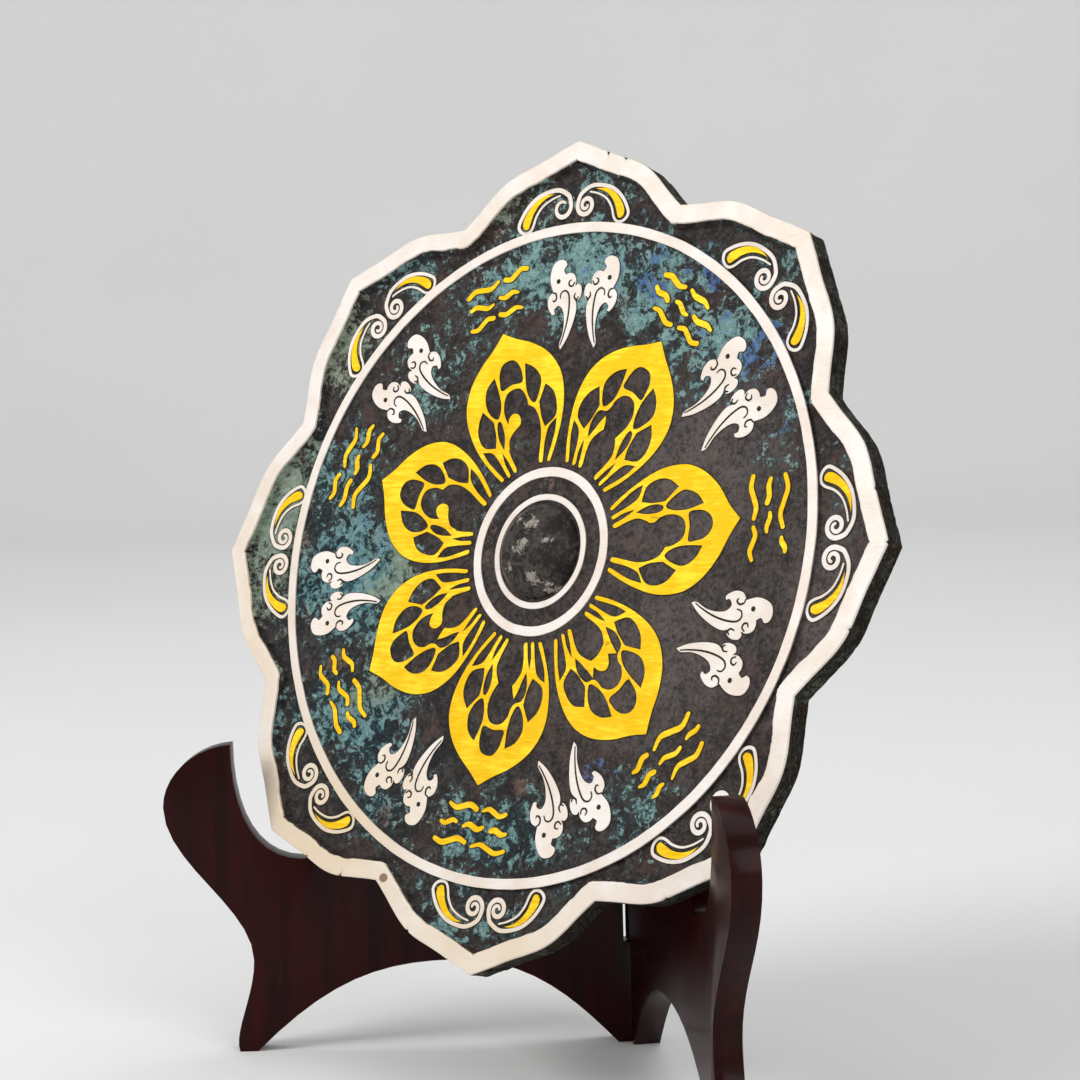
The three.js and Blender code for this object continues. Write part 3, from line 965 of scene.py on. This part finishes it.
class BuildPetals(bpy.types.Operator):
    """Cut the seven pierced gold petals and lay them round the knob"""
    bl_idname = "mirror.petals"
    bl_label = "Gold petals"

    # each petal's turn off its even place in degrees, its slide sideways, its growth, its left
    # and right foot, what grows inside it and on which side
    KINDS = (
        (-0.2, -0.9, 1.00, THREE_STRANDS, TWO_STRANDS, CLUB, 1),
        (-1.8, 0.6, 1.00, THORNED, THREE_STRANDS, None, 1),
        (-0.1, -0.4, 1.03, THREE_STRANDS, TWO_STRANDS, KNOP, 1),
        (0.5, 1.8, 1.01, THORNED, THORNED, CROWN, 1),
        (1.8, 0.1, 0.985, THORNED, THREE_STRANDS, None, 1),
        (0.1, 0.3, 0.99, THORNED, THREE_STRANDS, CLUB, -1),
        (-0.6, 0.0, 0.975, THREE_STRANDS, TWO_STRANDS, CLUB, 1),
    )
    ROOT = 27.0
    MIDDLE_TOP = (0, 53.9)

    def shapes(self, slide, growth, left_foot, right_foot, inside, hand, chance):
        """Outlines of the sheet with its cells, and of what grows inside it."""
        def drawn(points, amount=0.2):
            """The outline through the points, each moved a little, in this petal's place."""
            return outline([
                (p[0] + slide + chance.uniform(-amount, amount),
                 self.ROOT + (p[1] - self.ROOT) * growth + chance.uniform(-amount, amount),
                 *p[2:]) for p in points])

        right = OUTER_HALF + right_foot + [self.MIDDLE_TOP]
        left = mirrored((OUTER_HALF + left_foot)[1:])[::-1]
        sheet = [drawn(right + left, 0.08), drawn(TOP_CELL, 0.12)]
        for cell in (UPPER_CELL, LOWER_CELL):
            sheet += [drawn(cell), drawn(mirrored(cell))]
        if right_foot is THREE_STRANDS:
            sheet.append(drawn(SMALL_SLOT, 0.1))
        if left_foot is THREE_STRANDS:
            sheet.append(drawn(mirrored(SMALL_SLOT), 0.1))
        grown = [drawn(inside if hand > 0 else mirrored(inside), 0.1)] if inside else None
        return sheet, grown

    def execute(self, context):
        chance = random.Random(3)
        for i, (off, *kind) in enumerate(self.KINDS):
            inlay = Inlay(FIRST_PETAL + PETAL_STEP * i + math.radians(off))
            for outlines in self.shapes(*kind, chance):
                if outlines:
                    inlay.lay(outlines)
            piece = inlay.finish(f"pierced_petal_{i + 1}", brushed_gold(), "gold")
            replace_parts(piece, f"gold_petal_{i + 1}")
        return {"FINISHED"}


# ---- rows of gold strokes ----

class BuildStrokes(bpy.types.Operator):
    """Cut three rows of plain wavy strokes beyond each petal's tip"""
    bl_idname = "mirror.strokes"
    bl_label = "Rows of strokes"

    ROWS = (79.0, 84.4, 89.8)
    HALF_ROW = 14.0
    WAVE = (0, 1, 0, -1, 0)

    def strokes(self, chance):
        """Outlines of short strokes, none of which is a letter."""
        made = []
        for row, level in enumerate(self.ROWS):
            half_row = self.HALF_ROW - chance.uniform(0, 3.5)
            start = -half_row
            while start < half_row - 3.5:
                length = chance.uniform(5.0, 9.0) if row % 2 else chance.uniform(8.0, 15.0)
                end = min(start + length, half_row)
                swing = chance.uniform(0.05, 0.10) * (end - start) * chance.choice((-1, 1))
                tilt = chance.uniform(-0.7, 0.7)
                points = [(start + (end - start) * k / 4,
                           level + tilt * (k / 2 - 1) + swing * wave)
                          for k, wave in enumerate(self.WAVE)]
                made.append(stroke(flowing(points), chance.uniform(1.6, 1.95),
                                   chance.uniform(0.6, 1), chance.uniform(0.5, 1)))
                start = end + chance.uniform(2.6, 3.4)
        return made

    def execute(self, context):
        chance = random.Random(inlay_sizes().stroke_seed)
        for i in range(PETALS):
            inlay = Inlay(FIRST_PETAL + PETAL_STEP * i)
            for one in self.strokes(chance):
                inlay.lay([one])
            inlay.finish(f"gold_strokes_{i + 1}", brushed_gold(), "gold")
        return {"FINISHED"}


# ---- the silver clouds ----

# the right cloud of a pair, with its curls and its eye
CLOUD = [
    (10.9, 92.4), (13.5, 91.2), (14.6, 88.2), (14.4, 84.8), (12.8, 81.5, 1), (14.6, 79.4),
    (14.3, 76.3), (12.3, 73.7), (11.0, 74.0, 1), (11.5, 75.4), (10.0, 76.7), (8.0, 75.3),
    (6.9, 72.0), (6.8, 67.7), (7.8, 63.6), (7.1, 61.7, 1), (4.9, 65.2), (3.3, 69.3),
    (2.3, 73.4), (2.2, 76.4), (3.0, 78.2, 1), (1.4, 78.4), (0.6, 80.6), (1.0, 82.9),
    (2.4, 83.8), (3.6, 83.0, 1), (3.4, 85.2), (4.6, 87.2), (6.5, 87.7), (8.0, 87.2, 1),
    (9.1, 88.8), (8.0, 90.4), (8.8, 91.9),
]
CLOUD_LINES = [
    [(9.4, 79.3), (9.2, 80.9), (7.6, 81.7), (5.9, 80.3), (5.2, 76.3), (5.4, 71.3), (6.4, 66.3),
     (7.3, 63.4)],
    [(3.9, 84.3), (4.7, 83.1), (6.0, 83.4), (6.3, 84.6), (5.4, 85.2)],
    [(1.6, 79.2), (2.4, 78.4), (3.4, 79.2), (3.2, 80.6)],
    [(12.9, 81.2), (11.6, 80.9), (11.0, 79.3), (11.8, 78.2), (12.5, 78.6)],
]
CLOUD_EYE = (10.9, 85.0)
EYE_RADIUS = 0.78


class BuildClouds(bpy.types.Operator):
    """Cut the seven pairs of silver clouds and engrave their curls"""
    bl_idname = "mirror.clouds"
    bl_label = "Silver clouds"

    FIRST = math.radians(6.4)
    HEART = 77.0
    # each pair's place is listed: its lean in degrees, its slide sideways and outwards, its
    # size
    PLACES = ((5.6, -3.1, -0.6, 0.92), (7.3, -2.5, 0.1, 0.96), (5.0, 0.6, 0.0, 0.96),
              (6.7, 1.9, -0.1, 0.96), (8.6, -2.5, 1.0, 0.93), (4.4, -2.8, 0.8, 0.94),
              (5.6, -4.2, 1.7, 0.92))

    def execute(self, context):
        for i, (lean, along, out, size) in enumerate(self.PLACES):
            inlay = Inlay(self.FIRST + PETAL_STEP * i)
            way = Matrix.Rotation(math.radians(lean), 2) * size

            def placed(points, hand):
                moved = []
                for point in points:
                    x, y = way @ Vector((point[0] * hand, point[1] - self.HEART))
                    moved.append((x + along, y + self.HEART + out, *point[2:]))
                return moved

            for hand in (1, -1):
                inlay.lay([outline(placed(CLOUD, hand))])
                for line in CLOUD_LINES:
                    inlay.engrave(stroke(flowing(placed(line, hand)), 0.62, 0.7, 0.6), 0.05)
                x, y = placed([CLOUD_EYE], hand)[0]
                inlay.engrave([(x + EYE_RADIUS * math.sin(a), y + EYE_RADIUS * math.cos(a))
                               for a in (math.pi * k / 8 for k in range(16))], 0.04)
            inlay.finish(f"silver_clouds_{i + 1}", worn_silver(), "silver")
        return {"FINISHED"}


# ---- the scrolls of the border and their gold drops ----

# the right scroll of a pair runs on from its spiral, round the drop and back
SCROLL_LINE = [
    (1.9, 110.1), (2.9, 111.4), (6.3, 113.1), (10.4, 112.9), (15.0, 111.4), (18.9, 108.1),
    (21.4, 103.8), (21.1, 101.8), (19.3, 100.6), (17.2, 100.8), (15.9, 102.4), (14.8, 105.6),
    (12.6, 108.5), (9.2, 110.4), (6.0, 111.3),
]
SPIRAL_CENTRE = (4.6, 107.3)
DROP = [
    (7.9, 112.1, 1), (12.2, 111.8), (15.8, 110.1), (18.7, 106.8), (20.0, 103.9), (19.3, 102.0),
    (17.7, 101.9), (16.9, 103.9), (15.9, 106.6), (13.9, 109.2), (11.2, 111.0),
]


class BuildScrolls(bpy.types.Operator):
    """Cut the eight pairs of silver scrolls in the border, each with its gold drop"""
    bl_idname = "mirror.scrolls"
    bl_label = "Silver scrolls"

    # turn of each pair off its tip in degrees
    OFF = (-0.9, 0.4, -0.4, -0.4, 0.3, 1.1, 0.2, 0.75)
    SPIRAL_TURN = 540
    # degrees that are left of a worn spiral, by pair and side
    WORN = {(0, 1): 330}

    def line(self, turn_left):
        x, y = SPIRAL_CENTRE
        curl = []
        for degrees in range(0, turn_left + 1, 20):
            radius = 3.4 - 2.65 * (degrees / self.SPIRAL_TURN)
            angle = math.radians(160 + degrees)
            curl.append((x + radius * math.cos(angle), y + radius * math.sin(angle)))
        return flowing(curl[::-1] + SCROLL_LINE, 4)

    def execute(self, context):
        for i, off in enumerate(self.OFF):
            silver, gold = (Inlay(2 * HALF_LOBE * i + math.radians(off)) for _ in range(2))
            for hand, side in enumerate((list, mirrored)):
                line = self.line(self.WORN.get((i, hand), self.SPIRAL_TURN))
                path = [Vector(point) for point in side(line)]
                silver.lay([stroke(path, 1.5, 0.6, 0.4)])
                gold.lay([outline(side(DROP))])
            silver.finish(f"silver_scrolls_{i + 1}", worn_silver(), "silver")
            gold.finish(f"gold_drops_{i + 1}", brushed_gold(), "gold")
        return {"FINISHED"}


# ---- the stand ----

class BuildStand(bpy.types.Operator):
    """Round the edges of the stand's two boards and lacquer them"""
    bl_idname = "mirror.stand"
    bl_label = "Folding stand"

    FLAT_BELOW = math.radians(0.5)
    SHARP_ABOVE = math.radians(40)

    def execute(self, context):
        edge = context.scene.mirror_stand.edge
        for side in ("left", "right"):
            node = f"stand_board_{side}"
            bm = bmesh.new()
            bm.from_mesh(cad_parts[node].data)
            bmesh.ops.remove_doubles(bm, verts=bm.verts, dist=1e-6)
            bmesh.ops.dissolve_limit(bm, angle_limit=self.FLAT_BELOW, verts=bm.verts,
                                     edges=bm.edges)
            sharp = [e for e in bm.edges if e.is_manifold
                     and e.calc_face_angle(0) > self.SHARP_ABOVE]
            bmesh.ops.bevel(bm, geom=sharp, offset=edge, offset_type="OFFSET", affect="EDGES",
                            segments=3, profile=0.5, material=-1, clamp_overlap=True)
            piece = finished(f"lacquered_board_{side}", mesh_from(bm), [red_lacquer()],
                             32)
            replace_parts(piece, node)
        return {"FINISHED"}


# ---- floor, light and camera ----

class SetStage(bpy.types.Operator):
    """Lay the floor, hang the lights and set the camera"""
    bl_idname = "mirror.stage"
    bl_label = "Stage"

    FLOOR_RADII = (0, 0.6, 1.6)
    SWEEP_FOOT = 2.4
    SWEEP = 0.9
    BACKDROP_TOP = 2.6
    AIM = (0, 0, 0.15)
    LENS = 89.07
    SENSOR = 36
    # how far the line of sight passes beside and above the mirror's centre
    ASIDE = 0.0024
    ABOVE = 0.0026

    def floor(self):
        """A round floor whose edge sweeps up as a backdrop."""
        profile = [(radius, 0) for radius in self.FLOOR_RADII]
        for i in range(1, 13):
            bow = math.radians(90 * i / 12)
            profile.append((self.SWEEP_FOOT + self.SWEEP * math.sin(bow),
                            self.SWEEP - self.SWEEP * math.cos(bow)))
        profile.append((self.SWEEP_FOOT + self.SWEEP, self.BACKDROP_TOP))
        bm = spun(profile, 96)
        bmesh.ops.recalc_face_normals(bm, faces=bm.faces)
        bmesh.ops.reverse_faces(bm, faces=bm.faces)
        mesh = mesh_from(bm)
        mesh.shade_smooth()
        mesh.materials.append(studio_paper())
        floor = new_object("studio_floor", mesh)

    def lamp(self, name, place, size, power, aim=AIM):
        light = bpy.data.lights.new(name, "AREA")
        light.shape = "RECTANGLE"
        light.size, light.size_y = size
        light.energy = power
        lamp = new_object(name, light)
        lamp.location = place
        lamp.rotation_euler = (Vector(aim) - Vector(place)).to_track_quat("-Z", "Y").to_euler()

    def camera(self, stage):
        ahead = Vector((-math.sin(stage.azimuth) * math.cos(stage.pitch),
                        math.cos(stage.azimuth) * math.cos(stage.pitch),
                        -math.sin(stage.pitch)))
        level = Vector((math.cos(stage.azimuth), math.sin(stage.azimuth), 0))
        down = -level.cross(ahead)
        right = level * math.cos(stage.roll) + down * math.sin(stage.roll)
        low = -level * math.sin(stage.roll) + down * math.cos(stage.roll)
        place = MIRROR_CENTRE - ahead * stage.distance + right * self.ASIDE - low * self.ABOVE
        lens = bpy.data.cameras.new("camera")
        lens.lens = self.LENS
        lens.sensor_width = self.SENSOR
        lens.clip_start = 0.01
        camera = new_object("camera", lens)
        turn = Matrix((right, -low, -ahead)).transposed().to_4x4()
        camera.matrix_world = Matrix.Translation(place) @ turn
        bpy.context.scene.camera = camera

    def execute(self, context):
        stage = context.scene.mirror_stage
        self.floor()
        self.lamp("key_light", (-0.72, -1.55, 1.3), (1.0, 1.0), stage.key)
        self.lamp("fill_light", (1.5, -0.5, 0.9), (0.9, 1.2), stage.fill)
        self.lamp("top_light", (0.2, 0.4, 1.9), (1.4, 1.4), stage.fill)
        self.lamp("backdrop_light", (-0.7, 0.9, 2.3), (1.6, 1.6), stage.backdrop,
                  (-2.3, 2.7, 0.5))
        world = bpy.data.worlds.new("studio")
        world.use_nodes = True
        sky = world.node_tree.nodes["Background"].inputs
        sky["Color"].default_value = (0.9, 0.92, 0.95, 1)
        sky["Strength"].default_value = 0.35
        context.scene.world = world
        context.scene.view_settings.view_transform = "Standard"
        self.camera(stage)
        return {"FINISHED"}


# ---- panel and registration ----

GROUPS = {
    "mirror_casting": MirrorCasting,
    "mirror_inlays": MirrorInlays,
    "mirror_colours": MirrorColours,
    "mirror_stand": MirrorStand,
    "mirror_stage": MirrorStage,
}
STEPS = (BuildCasting, BuildSilverLines, BuildPetals, BuildStrokes, BuildClouds, BuildScrolls,
         BuildStand, SetStage)


class MirrorPanel(bpy.types.Panel):
    """Sizes, colours and the steps that build the mirror"""
    bl_idname = "VIEW3D_PT_inlaid_mirror"
    bl_label = "Inlaid mirror"
    bl_space_type = "VIEW_3D"
    bl_region_type = "UI"
    bl_category = "Mirror"

    def draw(self, context):
        for name, group in GROUPS.items():
            box = self.layout.box()
            box.label(text=group.__doc__)
            for key in group.__annotations__:
                box.prop(getattr(context.scene, name), key)
        for step in STEPS:
            self.layout.operator(step.bl_idname)


def register():
    for group in GROUPS.values():
        bpy.utils.register_class(group)
    for name, group in GROUPS.items():
        setattr(bpy.types.Scene, name, PointerProperty(type=group))
    for step in STEPS:
        bpy.utils.register_class(step)
    bpy.utils.register_class(MirrorPanel)


def unregister():
    bpy.utils.unregister_class(MirrorPanel)
    for step in reversed(STEPS):
        bpy.utils.unregister_class(step)
    for name in GROUPS:
        delattr(bpy.types.Scene, name)
    for group in reversed(list(GROUPS.values())):
        bpy.utils.unregister_class(group)


def main():
    register()
    bpy.ops.mirror.casting()
    bpy.ops.mirror.silver_lines()
    bpy.ops.mirror.petals()
    bpy.ops.mirror.strokes()
    bpy.ops.mirror.clouds()
    bpy.ops.mirror.scrolls()
    bpy.ops.mirror.stand()
    bpy.ops.mirror.stage()


if __name__ == "__main__":
    main()
